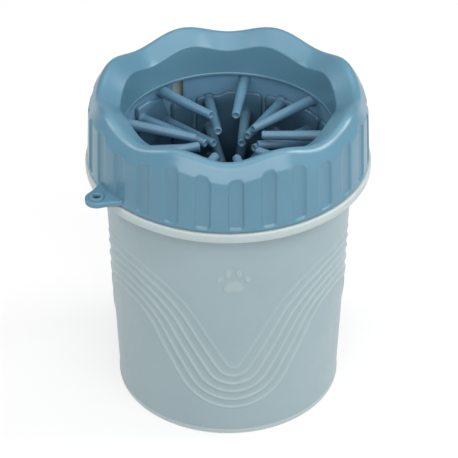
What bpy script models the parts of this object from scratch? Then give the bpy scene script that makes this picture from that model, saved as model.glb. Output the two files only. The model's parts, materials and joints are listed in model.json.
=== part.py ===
"""Paw washer cup: a frosted cup, a screwed collar with a waved lip, and a soft sleeve lined with bristles.

Metres, +Z up. The origin is the middle of the foot, on the table. Azimuths are degrees counted from -Y, the
front, towards +X. Angles of the bristles are hand-set, because soft bristles never all point one way.
"""

import math

import bmesh
import bpy
from mathutils import Matrix, Vector

MM = 0.001
GAP = 0.3 * MM

# Cup
CUP_FOOT_RADIUS = 45.5 * MM
CUP_TAPER = 0.032
CUP_WALL = 1.8 * MM
CUP_FLOOR = 2.4 * MM
FOOT_RING_WIDTH = 2.6 * MM
FOOT_RECESS = 0.9 * MM
CORNER_RADIUS = 2.5 * MM
FLANGE_RADIUS = 55.8 * MM
FLANGE_BOTTOM = 101.0 * MM
FLANGE_TOP = 104.9 * MM
FLANGE_FILLET = 3.0 * MM
NECK_RADIUS = 49.4 * MM
NECK_TOP = 121.0 * MM
FILLET_STEPS = 3
CUP_STEPS = 56

# Collar
COLLAR_BOTTOM = 105.4 * MM
COLLAR_RADIUS = 55.0 * MM
SKIRT_INNER_RADIUS = 52.8 * MM
WAVES = 8
WAVE_INNER = 1.6 * MM
WAVE_OUTER = 1.9 * MM
LIP_INNER_RADIUS = 44.0 * MM
LIP_OUTER_RADIUS = 54.0 * MM
FLUTES = 28
FLUTE_DEPTH = 0.8 * MM
FIRST_FLUTE_DEG = 3.0
STEPS_PER_FLUTE = 4

# Hanging tab on the collar
TAB_AZIMUTH_DEG = -54.8
TAB_THICKNESS = 2.3 * MM
TAB_ROOT_RADIUS = 53.6 * MM
TAB_ROOT_HALF_WIDTH = 8.2 * MM
TAB_HOLE_CENTRE = 60.2 * MM
TAB_TIP_RADIUS = 4.6 * MM
TAB_BOSS_RADIUS = 2.8 * MM
TAB_BOSS_HEIGHT = 2.8 * MM
TAB_HOLE_RADIUS = 1.3 * MM
TAB_TIP_HALF_DEG = 60.0
TAB_SIDES = 16

# Screw thread between neck and collar, two starts
THREAD_STARTS = 2
THREAD_LEAD = 12.0 * MM
RIDGE_ROOT = 2.4 * MM
RIDGE_CREST = 1.4 * MM
NECK_RIDGE_RADIUS = 51.4 * MM
NECK_RIDGE_START = 109.2 * MM
NECK_RIDGE_SWEEP_DEG = 170.0
COLLAR_RIDGE_RADIUS = 50.6 * MM
COLLAR_RIDGE_START = 107.4 * MM
COLLAR_RIDGE_SWEEP_DEG = 130.0
COLLAR_RIDGE_AHEAD_DEG = 36.0
COLLAR_RIDGE_SUNK = 1.0 * MM
RIDGE_STEP_DEG = 8.0

# Soft sleeve, its hem on the neck, and the gasket above the hem
SLEEVE_TOP_RADIUS = 44.85 * MM
SLEEVE_TAPER = 0.0135
SLEEVE_WALL = 1.4 * MM
SLEEVE_BOTTOM = 14.0 * MM
HEM_BOTTOM = 121.3 * MM
HEM_TOP = 122.9 * MM
HEM_RADIUS = 49.2 * MM
SLEEVE_SPLIT_DEG = 208.0
SLEEVE_SPLIT_WIDTH = 5.0 * MM
SPLIT_CUT_DEPTH = 14.0 * MM
GASKET_BOTTOM = 123.2 * MM
GASKET_TOP = 125.5 * MM
GASKET_INNER_RADIUS = 44.4 * MM
GASKET_OUTER_RADIUS = 49.6 * MM
SLEEVE_STEPS = 60

# Panels on the sleeve, between slits
PANEL_WALL = 1.6 * MM
PANEL_TOP = 108.0 * MM
# The narrow panel before the split is lower than the others, and the one after it is taller
PANEL_TOPS_BY_START = {199.0: 106.3 * MM, 214.0: 110.9 * MM}
PANEL_BOTTOM = 18.0 * MM
PANEL_PITCH_DEG = 40.0
WIDE_PANEL_DEG = 35.0
PANEL_EDGES_DEG = (199.0, 214.0) + tuple(240.0 + PANEL_PITCH_DEG * k for k in range(8)) + (559.0,)
SLIT_DEG = 1.8
PANEL_STEP_DEG = 5.0

# Bristles
BRISTLE_LENGTH = 28.0 * MM
BRISTLE_ROOT_RADIUS = 2.1 * MM
BRISTLE_TIP_RADIUS = 1.5 * MM
BRISTLE_DIMPLE = 0.5 * MM
BRISTLE_SIDES = 8
ROW_PITCH = 7.3 * MM
TOP_ROW_HEIGHT = 113.4 * MM
# Per row: (azimuth, rise of the tip above level, lean of the tip towards larger azimuth), in degrees
BENDING_ROWS = (
    ((12, -5, 1), (50, -6, 4), (89, 0, 0), (128, -6, 2), (171, 2, -2), (219, 4, -4), (258, -10, -5),
     (295, -2, 2), (338, -4, 0)),
    ((31, 0, 2), (72, -3, 0), (100, 6, -5), (149, 3, -4), (191, 8, 4), (236, -2, -1), (271, 2, -2),
     (311, -2, 0), (351, 0, 2)),
    ((12, 2, 0), (50, -2, 2), (89, 0, 0), (129, 10, -4), (170, 8, -7), (217, 9, -3), (253, -6, 2),
     (295, 2, 0), (338, 0, -2)),
)
# Roots that sit below the line of their row, under the low stretch of the panels' edge
LOWERED_ROOTS = {"bristle_row2_5": 1.8 * MM}
LOWER_ROWS = 7
LOWER_LENGTH = 24.0 * MM
LOWER_DROOP_DEG = 6.0
LOWER_SIDES = 6
COLUMN_A_DEG = 11.0
COLUMN_B_DEG = 31.0
SPLIT_COLUMNS_DEG = (221.0, 235.0)

# The collar's section, down the outer side first: (radius, height, share of the wave), in millimetres
COLLAR_SECTION = (
    (53.9, 126.0, 0.94), (54.9, 108.2, 0.12), (54.95, 107.0, 0.0), (55.0, 105.4, 0.0), (52.8, 105.4, 0.0),
    (52.3, 126.0, 0.4), (51.2, 129.6, 1.0), (49.4, 130.2, 1.0), (48.8, 125.8, 0.0), (45.6, 125.8, 0.0),
    (45.2, 129.4, 1.0), (43.1, 127.4, 0.8), (42.9, 116.1, 0.0), (41.05, 116.1, 0.0), (41.35, 128.7, 1.0),
    (41.7, 129.4, 1.0), (47.3, 133.2, 1.0), (48.6, 133.7, 1.0), (50.0, 133.4, 1.0), (51.0, 132.4, 1.0),
    (53.5, 128.1, 1.0), (53.8, 127.3, 1.0),
)
FLUTED_HEIGHTS = (108.0 * MM, 127.0 * MM)
FLUTE_HALF_WIDTH = 0.25

SMOOTH_BELOW_DEG = 35.0


def clear_scene():
    for obj in list(bpy.data.objects):
        bpy.data.objects.remove(obj, do_unlink=True)
    for old in list(bpy.data.collections):
        bpy.data.collections.remove(old)


def new_collection(name):
    made = bpy.data.collections.new(name)
    bpy.context.scene.collection.children.link(made)
    return made


def principled(name, colour, roughness, alpha=1.0):
    made = bpy.data.materials.new(name)
    made.use_nodes = True
    shader = made.node_tree.nodes["Principled BSDF"]
    shader.inputs["Base Color"].default_value = (*colour, 1.0)
    shader.inputs["Roughness"].default_value = roughness
    shader.inputs["Metallic"].default_value = 0.0
    shader.inputs["Alpha"].default_value = alpha
    return made


def place(name, mesh, collection, material):
    obj = bpy.data.objects.new(name, mesh)
    collection.objects.link(obj)
    if material:
        mesh.materials.clear()
        mesh.materials.append(material)
    return obj


def as_cutter(obj):
    obj.hide_render = True
    obj.display_type = "WIRE"
    return obj


def outward(azimuth_deg):
    """The level direction that points away from the axis at an azimuth."""
    angle = math.radians(azimuth_deg)
    return Vector((math.sin(angle), -math.cos(angle), 0.0))


def sideways(azimuth_deg):
    """The level direction in which the azimuth grows."""
    angle = math.radians(azimuth_deg)
    return Vector((math.cos(angle), math.sin(angle), 0.0))


def arc(centre, radius, start_deg, end_deg, steps):
    """Points of a round stretch of a section."""
    points = []
    for k in range(steps + 1):
        angle = math.radians(start_deg + (end_deg - start_deg) * k / steps)
        points.append((centre[0] + radius * math.cos(angle), centre[1] + radius * math.sin(angle)))
    return points


def section_mesh(name, points, closed):
    """A section in the XZ plane, as edges only."""
    mesh = bpy.data.meshes.new(name)
    count = len(points)
    edges = [(k, k + 1) for k in range(count - 1)]
    if closed:
        edges.append((count - 1, 0))
    mesh.from_pydata([(x, 0.0, z) for x, z in points], edges, [])
    return mesh


def turn(obj, steps, angle_deg=360.0, rise=0.0):
    screw = obj.modifiers.new("turned", "SCREW")
    screw.steps = steps
    screw.render_steps = steps
    screw.angle = math.radians(angle_deg)
    screw.screw_offset = rise
    screw.use_merge_vertices = angle_deg == 360.0
    screw.merge_threshold = 0.00001
    return screw


def join(obj, other, operation):
    cut = obj.modifiers.new(f"{operation.lower()} {other.name}", "BOOLEAN")
    cut.operation = operation
    cut.solver = "EXACT"
    cut.object = other
    return cut


def freeze(obj):
    """Replaces the object's mesh with its evaluated one, and drops its modifiers."""
    graph = bpy.context.evaluated_depsgraph_get()
    graph.update()
    mesh = bpy.data.meshes.new_from_object(obj.evaluated_get(graph))
    obj.modifiers.clear()
    obj.data = mesh
    return obj


def close_ends(obj):
    """Caps the open ends of a swept solid."""
    shape = bmesh.new()
    shape.from_mesh(obj.data)
    bmesh.ops.holes_fill(shape, edges=[e for e in shape.edges if e.is_boundary])
    bmesh.ops.recalc_face_normals(shape, faces=shape.faces)
    shape.to_mesh(obj.data)
    shape.free()
    return obj


def shade(obj):
    """Smooth shading with crisp corners, on the final mesh."""
    freeze(obj)
    obj.data.shade_smooth()
    obj.data.set_sharp_from_angle(angle=math.radians(SMOOTH_BELOW_DEG))


def rod_mesh(length, root_radius, tip_radius, sides, matrix, shape):
    """Adds one plain tapered rod, root at the matrix's origin and tip along its +Z, to a bmesh."""
    middle = matrix @ Matrix.Translation((0.0, 0.0, length / 2))
    bmesh.ops.create_cone(
        shape, cap_ends=True, segments=sides, radius1=root_radius, radius2=tip_radius, depth=length,
        matrix=middle,
    )


def cup_radius(height):
    return CUP_FOOT_RADIUS + CUP_TAPER * height


def cup_section():
    """From the middle of the inside floor, up the inside, over the rim and down the outside."""
    inside_corner = (cup_radius(0.0) - CUP_WALL - CORNER_RADIUS, CUP_FLOOR + CORNER_RADIUS)
    outside_corner = (cup_radius(0.0) - CORNER_RADIUS, CORNER_RADIUS)
    fillet = (cup_radius(FLANGE_BOTTOM) + FLANGE_FILLET, FLANGE_BOTTOM - FLANGE_FILLET)
    ring_inner = CUP_FOOT_RADIUS - CORNER_RADIUS - FOOT_RING_WIDTH
    points = [(0.0, CUP_FLOOR)]
    points += arc(inside_corner, CORNER_RADIUS, -90, 0, FILLET_STEPS)
    points += [(NECK_RADIUS - CUP_WALL, NECK_TOP), (NECK_RADIUS, NECK_TOP)]
    points += [(NECK_RADIUS, FLANGE_TOP), (FLANGE_RADIUS, FLANGE_TOP), (FLANGE_RADIUS, FLANGE_BOTTOM)]
    points += arc(fillet, FLANGE_FILLET, 90, 180, FILLET_STEPS)
    points += arc(outside_corner, CORNER_RADIUS, 0, -90, FILLET_STEPS)
    points += [(ring_inner, 0.0), (ring_inner - FOOT_RECESS, FOOT_RECESS), (0.0, FOOT_RECESS)]
    return points


def ridge(name, root_radius, crest_radius, start_deg, sweep_deg, start_height, tools):
    """One helical ridge of the thread. Its section stands on root_radius and points to crest_radius."""
    half_root, half_crest = RIDGE_ROOT / 2, RIDGE_CREST / 2
    points = [
        (root_radius, half_root),
        (root_radius, -half_root),
        (crest_radius, -half_crest),
        (crest_radius, half_crest),
    ]
    obj = place(name, section_mesh(name, points, closed=True), tools, None)
    turn(obj, round(sweep_deg / RIDGE_STEP_DEG), sweep_deg, THREAD_LEAD * sweep_deg / 360)
    close_ends(freeze(obj))
    obj.data.transform(Matrix.Rotation(math.radians(start_deg), 4, "Z"))
    obj.data.transform(Matrix.Translation((0.0, 0.0, start_height)))
    return as_cutter(obj)


def build_cup(parts, tools, material):
    cup = place("cup", section_mesh("cup", cup_section(), closed=False), parts, material)
    turn(cup, CUP_STEPS)
    root = NECK_RADIUS - CUP_WALL / 2
    for k in range(THREAD_STARTS):
        start = 360.0 * k / THREAD_STARTS
        name = f"neck_ridge_{k + 1}"
        made = ridge(name, root, NECK_RIDGE_RADIUS, start, NECK_RIDGE_SWEEP_DEG, NECK_RIDGE_START, tools)
        join(cup, made, "UNION")


def wave_height(radius, azimuth):
    """How far the lip's wave lifts a point: the crests lie between the four main directions."""
    across = (radius - LIP_INNER_RADIUS) / (LIP_OUTER_RADIUS - LIP_INNER_RADIUS)
    amplitude = WAVE_INNER + (WAVE_OUTER - WAVE_INNER) * min(1.0, max(0.0, across))
    return -amplitude * math.cos(WAVES * azimuth)


def collar_ring(material, parts):
    """The turned ring, then its waves and flutes, which move the ring's own vertices."""
    outline = [(r * MM, z * MM) for r, z, _ in COLLAR_SECTION]
    shares = {(round(r, 2), round(z, 2)): share for r, z, share in COLLAR_SECTION}
    ring = place("collar", section_mesh("collar", outline, closed=True), parts, material)
    turn(ring, FLUTES * STEPS_PER_FLUTE)
    freeze(ring)
    step_deg = 360.0 / (FLUTES * STEPS_PER_FLUTE)
    first_vertex_deg = FIRST_FLUTE_DEG + step_deg / 2
    ring.data.transform(Matrix.Rotation(math.radians(first_vertex_deg - 90.0), 4, "Z"))
    for vertex in ring.data.vertices:
        radius = math.hypot(vertex.co.x, vertex.co.y)
        azimuth = math.atan2(vertex.co.x, -vertex.co.y)
        share = shares[(round(radius / MM, 2), round(vertex.co.z / MM, 2))]
        phase = (math.degrees(azimuth) - FIRST_FLUTE_DEG) / (360.0 / FLUTES)
        in_flute = abs(phase - round(phase)) < FLUTE_HALF_WIDTH
        on_wall = radius > SKIRT_INNER_RADIUS + GAP and FLUTED_HEIGHTS[0] < vertex.co.z < FLUTED_HEIGHTS[1]
        narrowed = (radius - FLUTE_DEPTH) / radius if in_flute and on_wall else 1.0
        lifted = vertex.co.z + share * wave_height(radius, azimuth)
        vertex.co = (vertex.co.x * narrowed, vertex.co.y * narrowed, lifted)
    return ring


def hanging_tab(tools):
    """A flat drop-shaped plate whose outline runs straight from the collar's wall to the round tip."""
    away = outward(TAB_AZIMUTH_DEG)
    across = sideways(TAB_AZIMUTH_DEG)
    outline = [(TAB_ROOT_RADIUS, -TAB_ROOT_HALF_WIDTH)]
    tip_centre = (TAB_HOLE_CENTRE, 0.0)
    outline += arc(tip_centre, TAB_TIP_RADIUS, -TAB_TIP_HALF_DEG, TAB_TIP_HALF_DEG, TAB_SIDES // 2)
    outline += [(TAB_ROOT_RADIUS, TAB_ROOT_HALF_WIDTH)]
    shape = bmesh.new()
    lift = Vector((0.0, 0.0, COLLAR_BOTTOM))
    corners = [shape.verts.new(away * r + across * s + lift) for r, s in outline]
    plate = shape.faces.new(corners)
    lifted = bmesh.ops.extrude_face_region(shape, geom=[plate])
    risen = [item for item in lifted["geom"] if isinstance(item, bmesh.types.BMVert)]
    bmesh.ops.translate(shape, verts=risen, vec=(0.0, 0.0, TAB_THICKNESS))
    bmesh.ops.recalc_face_normals(shape, faces=shape.faces)
    mesh = bpy.data.meshes.new("hanging_tab")
    shape.to_mesh(mesh)
    shape.free()
    return as_cutter(place("hanging_tab", mesh, tools, None))


def tab_cylinder(name, radius, height, below, tools):
    """An upright cylinder at the tab's hole, which starts this far below the tab's underside."""
    middle = COLLAR_BOTTOM - below + height / 2
    centre = outward(TAB_AZIMUTH_DEG) * TAB_HOLE_CENTRE + Vector((0.0, 0.0, middle))
    shape = bmesh.new()
    bmesh.ops.create_cone(
        shape, cap_ends=True, segments=TAB_SIDES, radius1=radius, radius2=radius, depth=height,
        matrix=Matrix.Translation(centre),
    )
    mesh = bpy.data.meshes.new(name)
    shape.to_mesh(mesh)
    shape.free()
    return as_cutter(place(name, mesh, tools, None))


def build_collar(parts, tools, material):
    collar = collar_ring(material, parts)
    join(collar, hanging_tab(tools), "UNION")
    join(collar, tab_cylinder("tab_boss", TAB_BOSS_RADIUS, TAB_BOSS_HEIGHT, 0.0, tools), "UNION")
    hole = tab_cylinder("tab_hole", TAB_HOLE_RADIUS, 3 * TAB_BOSS_HEIGHT, TAB_BOSS_HEIGHT, tools)
    join(collar, hole, "DIFFERENCE")
    root = SKIRT_INNER_RADIUS + COLLAR_RIDGE_SUNK
    for k in range(THREAD_STARTS):
        start = 360.0 * k / THREAD_STARTS + COLLAR_RIDGE_AHEAD_DEG
        name = f"collar_ridge_{k + 1}"
        crest, sweep = COLLAR_RIDGE_RADIUS, COLLAR_RIDGE_SWEEP_DEG
        made = ridge(name, root, crest, start, sweep, COLLAR_RIDGE_START, tools)
        join(collar, made, "UNION")


def sleeve_outer_radius(height):
    return SLEEVE_TOP_RADIUS - SLEEVE_TAPER * (HEM_BOTTOM - height)


def sleeve_inner_radius(height):
    return sleeve_outer_radius(height) - SLEEVE_WALL


def build_sleeve(parts, tools, material):
    """A thin round sheet that stands in the cup, split at the back left, with a hem that lies on the neck."""
    points = [
        (HEM_RADIUS, HEM_TOP),
        (HEM_RADIUS, HEM_BOTTOM),
        (SLEEVE_TOP_RADIUS, HEM_BOTTOM),
        (sleeve_outer_radius(SLEEVE_BOTTOM), SLEEVE_BOTTOM),
        (sleeve_inner_radius(SLEEVE_BOTTOM), SLEEVE_BOTTOM),
        (sleeve_inner_radius(HEM_TOP), HEM_TOP),
    ]
    sleeve = place("insert_sleeve", section_mesh("insert_sleeve", points, closed=True), parts, material)
    turn(sleeve, SLEEVE_STEPS)
    shape = bmesh.new()
    bmesh.ops.create_cube(shape, size=1.0)
    bmesh.ops.scale(shape, verts=shape.verts, vec=(SLEEVE_SPLIT_WIDTH, SPLIT_CUT_DEPTH, 2 * HEM_TOP))
    mesh = bpy.data.meshes.new("sleeve_split")
    shape.to_mesh(mesh)
    shape.free()
    cutter = as_cutter(place("sleeve_split", mesh, tools, None))
    cutter.location = outward(SLEEVE_SPLIT_DEG) * SLEEVE_TOP_RADIUS
    cutter.rotation_euler = (0.0, 0.0, math.radians(SLEEVE_SPLIT_DEG))
    join(sleeve, cutter, "DIFFERENCE")


def build_gasket(parts, material):
    points = [
        (GASKET_OUTER_RADIUS, GASKET_TOP),
        (GASKET_OUTER_RADIUS, GASKET_BOTTOM),
        (GASKET_INNER_RADIUS, GASKET_BOTTOM),
        (GASKET_INNER_RADIUS, GASKET_TOP),
    ]
    gasket = place("neck_gasket", section_mesh("neck_gasket", points, closed=True), parts, material)
    turn(gasket, SLEEVE_STEPS)


def panel_inner_radius(height):
    return sleeve_inner_radius(height) - GAP - PANEL_WALL


def row_height(row):
    return TOP_ROW_HEIGHT - ROW_PITCH * row


def lower_columns(start_deg, end_deg):
    """The two azimuths at which a panel carries its lower bristles, in turn from row to row."""
    if end_deg - start_deg >= WIDE_PANEL_DEG:
        return start_deg + COLUMN_A_DEG, start_deg + COLUMN_B_DEG
    if start_deg < SPLIT_COLUMNS_DEG[0] < end_deg:
        return SPLIT_COLUMNS_DEG
    return None


def lower_bristles(name, columns, tools):
    """The deep rows of one panel, which are moulded onto it."""
    shape = bmesh.new()
    for row in range(len(BENDING_ROWS), len(BENDING_ROWS) + LOWER_ROWS):
        azimuth = columns[row % 2]
        height = row_height(row)
        inward = -outward(azimuth) * math.cos(math.radians(LOWER_DROOP_DEG))
        direction = inward - Vector((0.0, 0.0, math.sin(math.radians(LOWER_DROOP_DEG))))
        root = outward(azimuth) * (panel_inner_radius(height) + PANEL_WALL / 2) + Vector((0.0, 0.0, height))
        matrix = Matrix.Translation(root) @ direction.to_track_quat("Z", "Y").to_matrix().to_4x4()
        rod_mesh(LOWER_LENGTH, BRISTLE_ROOT_RADIUS, BRISTLE_TIP_RADIUS, LOWER_SIDES, matrix, shape)
    mesh = bpy.data.meshes.new(name)
    shape.to_mesh(mesh)
    shape.free()
    return as_cutter(place(name, mesh, tools, None))


def build_panels(parts, tools, material):
    for k in range(len(PANEL_EDGES_DEG) - 1):
        start, end = PANEL_EDGES_DEG[k], PANEL_EDGES_DEG[k + 1]
        span = end - start - SLIT_DEG
        name = f"bristle_panel_{k + 1:02d}"
        top = PANEL_TOPS_BY_START.get(start, PANEL_TOP)
        points = [(panel_inner_radius(z), z) for z in (top, PANEL_BOTTOM)]
        panel = place(name, section_mesh(name, points, closed=False), parts, material)
        turn(panel, math.ceil(span / PANEL_STEP_DEG), span)
        panel.rotation_euler = (0.0, 0.0, math.radians(start + SLIT_DEG / 2 - 90.0))
        wall = panel.modifiers.new("wall", "SOLIDIFY")
        wall.thickness = PANEL_WALL
        wall.offset = 1.0
        columns = lower_columns(start, end)
        if columns:
            join(panel, lower_bristles(f"{name}_bristles", columns, tools), "UNION")


def bristle_mesh(material):
    """A bending bristle: a ball root about which it bends, a tapered shaft, and a dimpled tip."""
    dimple = BRISTLE_LENGTH - BRISTLE_DIMPLE
    points = [(0.0, dimple), (BRISTLE_TIP_RADIUS / 2, dimple), (BRISTLE_TIP_RADIUS, BRISTLE_LENGTH)]
    points += arc((0.0, 0.0), BRISTLE_ROOT_RADIUS, 0, -60, FILLET_STEPS - 1)
    points += [(0.0, -BRISTLE_ROOT_RADIUS)]
    mesh = section_mesh("bristle", points, closed=False)
    mesh.materials.append(material)
    return mesh


def build_bristles(parts, material):
    shared = bristle_mesh(material)
    for row, bristles in enumerate(BENDING_ROWS):
        height = row_height(row)
        face = sleeve_inner_radius(height) if row == 0 else panel_inner_radius(height)
        for k, (azimuth, rise_deg, lean_deg) in enumerate(bristles):
            rise, lean = math.radians(rise_deg), math.radians(lean_deg)
            level = -outward(azimuth) * math.cos(lean) + sideways(azimuth) * math.sin(lean)
            direction = level * math.cos(rise) + Vector((0.0, 0.0, math.sin(rise)))
            name = f"bristle_row{row + 1}_{k + 1}"
            bristle = bpy.data.objects.new(name, shared)
            parts.objects.link(bristle)
            root = outward(azimuth) * (face - GAP - BRISTLE_ROOT_RADIUS)
            bristle.location = root + Vector((0.0, 0.0, height - LOWERED_ROOTS.get(name, 0.0)))
            bristle.rotation_euler = direction.to_track_quat("Z", "Y").to_euler()
            turn(bristle, BRISTLE_SIDES)


def main():
    clear_scene()
    parts = new_collection("paw_washer_cup")
    tools = new_collection("cutters")
    frosted = principled("frosted_plastic", (0.45, 0.55, 0.58), 0.45, alpha=0.6)
    blue = principled("blue_plastic", (0.17, 0.32, 0.42), 0.38)
    silicone = principled("blue_silicone", (0.13, 0.26, 0.36), 0.5)
    gasket_rubber = principled("gasket_rubber", (0.55, 0.58, 0.6), 0.6)
    build_cup(parts, tools, frosted)
    build_collar(parts, tools, blue)
    build_gasket(parts, gasket_rubber)
    build_sleeve(parts, tools, silicone)
    build_panels(parts, tools, silicone)
    build_bristles(parts, silicone)
    for obj in parts.objects:
        shade(obj)


main()
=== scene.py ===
"""Looks of the paw washer cup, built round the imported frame.

The scene is in metres, +Z up. The object's own constants are in millimetres and degrees, and the camera's and
lights' places in metres. Azimuths are counted from -Y, the front, towards +X. The bristles of the upper rows
and the gasket are placed by the frame's joints and nodes.
"""
import json
import math
import random

import bmesh
import bpy
import numpy as np
from mathutils import Matrix, Vector


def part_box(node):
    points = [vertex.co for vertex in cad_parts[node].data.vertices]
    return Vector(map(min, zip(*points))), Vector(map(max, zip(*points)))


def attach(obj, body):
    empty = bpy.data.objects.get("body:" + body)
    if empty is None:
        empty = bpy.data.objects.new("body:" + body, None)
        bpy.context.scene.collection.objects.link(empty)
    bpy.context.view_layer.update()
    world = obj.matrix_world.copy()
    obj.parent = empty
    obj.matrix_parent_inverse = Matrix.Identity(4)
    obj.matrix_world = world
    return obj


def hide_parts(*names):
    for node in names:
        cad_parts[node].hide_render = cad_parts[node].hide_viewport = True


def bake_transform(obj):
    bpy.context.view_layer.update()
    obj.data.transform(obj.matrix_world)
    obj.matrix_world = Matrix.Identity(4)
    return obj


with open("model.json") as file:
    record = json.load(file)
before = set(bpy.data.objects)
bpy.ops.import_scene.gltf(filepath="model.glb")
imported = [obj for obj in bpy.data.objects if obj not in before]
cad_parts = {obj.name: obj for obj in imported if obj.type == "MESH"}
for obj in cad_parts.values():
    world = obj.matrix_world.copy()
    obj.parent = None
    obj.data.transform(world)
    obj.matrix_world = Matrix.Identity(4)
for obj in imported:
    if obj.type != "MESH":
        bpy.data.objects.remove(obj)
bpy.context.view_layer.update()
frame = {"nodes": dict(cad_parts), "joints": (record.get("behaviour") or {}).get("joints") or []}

random.seed(7)

MM = 0.001
TURN = 2.0 * math.pi
# The most that a fillet takes up of the shorter side next to it
FILLET_SHARE = 0.48
# The soft edges of the emblem's pads and of the flutes begin this far inside their outlines: just outside
SOFT_EDGE_START = -0.1

# Camera and light
LENS_MM = 144.5
CAMERA_PLACE = (0.0, -0.605, 0.4939)
CAMERA_DOWN_DEG = 35.1
CAMERA_SHIFT = 0.0017
# (name, place, size, watts)
LIGHTS = (
    ("box_right", (0.80, 0.10, 0.75), (0.4, 0.6), 7.0),
    ("box_left", (-0.80, 0.10, 0.75), (0.4, 0.6), 4.0),
    ("front", (0.15, -0.85, 0.78), (1.9, 0.8), 18.5),
    ("overhead", (0.0, 0.10, 1.15), (1.0, 1.0), 5.0),
)
LIGHTS_AIM = (0.0, 0.0, 0.09)
WORLD_STRENGTH = 0.35
FLOOR_RADIUS = 6.0

# Cup
FOOT_RADIUS = 45.5
TAPER = 0.032
CUP_WALL = 1.8
FLANGE_TOP = 104.9
FLANGE_BOTTOM = 101.0
FLANGE_RADIUS = 55.8
FLANGE_FILLET = 5.0
FOOT_FILLET = 0.7
FOOT_BEAD, FOOT_BEAD_RELIEF = 2.2, 0.35
# How far inside the foot's outer radius its flat ring ends, where the recess begins, and the recess's depth
RING_END, RECESS_START, RECESS = 5.1, 6.0, 0.9
CUP_FLOOR = 2.4
# Radius of the innermost ring of points on the inside floor and on the underside
HUB_RADIUS = 8.0
NECK_RADIUS = 49.4
NECK_TOP = 121.0
# Heights where the plain profiles end and the rows that follow the ribs take over
UPPER_PROFILE_END, LOWER_PROFILE_END = 90.0, 9.0
# Rows between the upper profile and the ribs (above, over and below the emblem), and between the ribs
# and the foot: share of the way up at the first and the last row, and number of rows
ROWS_ABOVE_RIBS = ((0.985, 0.82, 5), (0.80, 0.38, 54), (0.355, 0.03, 8))
ROWS_BELOW_RIBS = (0.92, 0.06, 8)
# Longest step along the plain profiles
PROFILE_STEP = 8.0

# Ribs on the cup: parallel lines either side of a middle line made of arcs and straight flanks
RIB_CENTRE_DEG = 2.5
RIB_PERIODS = 3
RIB_REFERENCE_RADIUS = 46.2
RIB_TROUGH, RIB_CREST = 24.8, 68.0
RIB_TROUGH_ARC, RIB_CREST_ARC = 13.0, 29.0
RIB_PITCH = 4.1
RIB_COUNT = 6
RIB_HALF_WIDTH = 1.15
RIB_HEIGHT = 0.5
RIB_SHARES = (1.0, 1.0, 1.0, 1.0, 0.9, 0.55)
# Rows of points across a rib, as shares of its half width, and the power that rounds its section
RIB_ROWS, RIB_POWER = (1.0, 0.75, 0.5, 0.25, 0.0, -0.25, -0.5, -0.75, -1.0), 0.8
# The band of ribs ends this many half widths from the middle of its outermost ribs
RIB_BAND_MARGIN = 1.3
# Steps along the lower arc, the flank and the upper arc
RIB_STEPS = (16, 28, 30)
# Half the cup's circumference, as the ribs' line counts it
HALF_ROUND = RIB_REFERENCE_RADIUS * TURN / 2

# Paw emblem: (sideways, upwards, half width, half height, lean in degrees) of each pad
EMBLEM_HEIGHT = 78.0
EMBLEM_RELIEF = 0.32
EMBLEM_EDGE = 0.55
EMBLEM_PADS = (
    (0.0, -2.3, 3.6, 2.7, 0), (-2.3, -3.6, 2.0, 1.8, 25), (2.3, -3.6, 2.0, 1.8, -25),
    (-5.3, 0.9, 1.35, 2.0, 24), (-2.0, 3.9, 1.4, 2.15, 8),
    (2.0, 3.9, 1.4, 2.15, -8), (5.3, 0.9, 1.35, 2.0, -24),
)

# Collar
WAVES = 8
WAVE_INNER, WAVE_OUTER = 1.6, 1.9
LIP_INNER_RADIUS, LIP_OUTER_RADIUS = 44.0, 54.0
FLUTES = 28
FIRST_FLUTE_DEG = 3.0
FLUTE_HALF_WIDTH = 3.1
FLUTE_BOTTOM, FLUTE_TOP = 106.5, 128.4
FLUTE_CORNER = 2.0
FLUTE_EDGE, FLUTE_EDGE_DEPTH, FLUTE_HOLLOW_DEPTH = 0.75, 0.6, 0.45
# Columns of points across half a flute, in degrees: from its middle on the floor, inwards from its edge, and
# from its middle on the land beside it
FLUTE_FLOOR_DEG = (0.8, 1.5)
FLUTE_INSIDE_EDGE_DEG = (1.1, 0.8, 0.55, 0.3, 0.1, -0.1, -0.45)
FLUTE_OUTSIDE_DEG = (4.7, 5.6)
# Points farther out than this are on the outside of the collar's wall
SKIRT_RADIUS = 53.2
# Longest steps round the section: at the flutes' ends, between them, on the lip and elsewhere. The ends are
# below and above these heights, and the lip is beyond this radius and height
FLUTE_END_STEP, FLUTE_STEP, LIP_STEP, COLLAR_STEP = 0.38, 1.6, 1.1, 3.0
FLUTE_END_HEIGHTS, LIP_FROM = (110.5, 122.0), (50.0, 128.0)
# (radius, height, fillet, share of the wave), round the section from the outer bottom edge
COLLAR_CORNERS = (
    (55.0, 105.4, 0.35, 0.0), (53.9, 127.4, 3.0, 1.0), (49.6, 134.7, 2.6, 1.0), (41.35, 129.1, 0.9, 1.0),
    (41.2, 117.4, 0.3, 0.0), (41.0, 117.1, 0.2, 0.0), (41.0, 116.1, 0.4, 0.0), (42.9, 116.1, 0.4, 0.0),
    (43.1, 127.4, 0.5, 0.8), (45.2, 129.4, 0.3, 1.0), (45.6, 125.9, 0.2, 0.0), (48.8, 125.9, 0.2, 0.0),
    (49.4, 130.2, 0.3, 1.0), (51.2, 129.6, 0.5, 1.0), (52.3, 126.0, 0.5, 0.4), (52.8, 105.4, 0.35, 0.0),
)

# Hanging tab
TAB_AZIMUTH_DEG = -54.8
TAB_BOTTOM, TAB_THICKNESS = 105.4, 2.3
TAB_ROOT_RADIUS, TAB_ROOT_HALF_WIDTH = 53.4, 8.4
TAB_TIP_CENTRE, TAB_TIP_RADIUS = 60.2, 4.6
TAB_HOLE_RADIUS, TAB_BOSS_RADIUS, TAB_BOSS_HEIGHT = 1.4, 2.9, 2.9
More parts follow.
